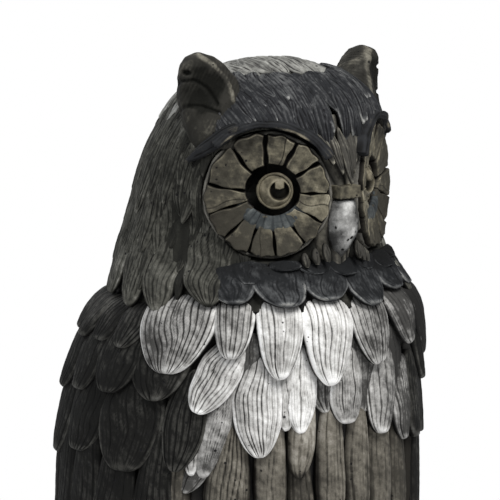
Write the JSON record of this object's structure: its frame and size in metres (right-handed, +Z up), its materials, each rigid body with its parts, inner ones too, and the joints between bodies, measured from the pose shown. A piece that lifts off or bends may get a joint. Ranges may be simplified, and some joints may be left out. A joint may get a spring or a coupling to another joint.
{
  "type": "owl figurine",
  "caption": "Free-standing horned owl figurine with layered leaf feathers, tiled facial discs, ear tufts and taloned feet on a low rock plinth.",
  "frame": {"origin": "middle of the resting face, at the bottom centre of the bounding box", "axes": "+Z up; the owl's breast faces -Y; its left wing is on +X"},
  "size_m": [0.1716, 0.1636, 0.384],
  "materials": {
    "charcoal": "matt cast stone look, charcoal wash",
    "black_feather": "matt blue-black with a thin silver dry-brush",
    "silver_feather": "silver dry-brush over black",
    "taupe_feather": "taupe dry-brush over black",
    "bronze_face": "dull bronze dry-brush over black",
    "felt": "black felt"
  },
  "bodies": {
    "root": {"rock_plinth": "charcoal", "felt_sheet": "felt", "body_casting": "charcoal", "neck_collar": "charcoal", "head_casting": "charcoal", "left_wing_blade": "black_feather", "right_wing_blade": "black_feather", "ruff_upper": "black_feather", "ruff_lower": "black_feather", "breast_course_1": "silver_feather", "breast_course_2": "silver_feather", "breast_course_3": "taupe_feather", "belly_course_1": "taupe_feather", "belly_course_2": "taupe_feather", "left_shoulder_coverts": "black_feather", "right_shoulder_coverts": "black_feather", "left_median_coverts": "black_feather", "right_median_coverts": "black_feather", "left_greater_coverts": "black_feather", "right_greater_coverts": "black_feather", "left_secondaries": "black_feather", "right_secondaries": "black_feather", "left_primaries": "black_feather", "right_primaries": "black_feather", "mantle_course_1": "black_feather", "mantle_course_2": "black_feather", "mantle_course_3": "black_feather", "rump_course": "black_feather", "tail_feathers": "black_feather", "left_leg_feathers": "taupe_feather", "right_leg_feathers": "taupe_feather", "left_toes": "charcoal", "right_toes": "charcoal", "left_talons": "black_feather", "right_talons": "black_feather", "nape_upper": "charcoal", "nape_lower": "charcoal", "crown_strands": "black_feather", "forehead_strands": "black_feather", "frown_strands": "black_feather", "chin_bristles": "taupe_feather", "left_ear_tuft": "charcoal", "right_ear_tuft": "charcoal", "left_brow": "bronze_face", "right_brow": "bronze_face", "nose_bridge": "black_feather", "cere": "bronze_face", "beak": "silver_feather", "left_disc_base": "charcoal", "right_disc_base": "charcoal", "left_disc_tiles": "bronze_face", "right_disc_tiles": "bronze_face", "left_lower_lid": "taupe_feather", "right_lower_lid": "taupe_feather", "left_eye_rim": "bronze_face", "right_eye_rim": "bronze_face", "left_eye": "bronze_face", "right_eye": "bronze_face", "cheek_strands": "charcoal"}
  },
  "joints": []
}
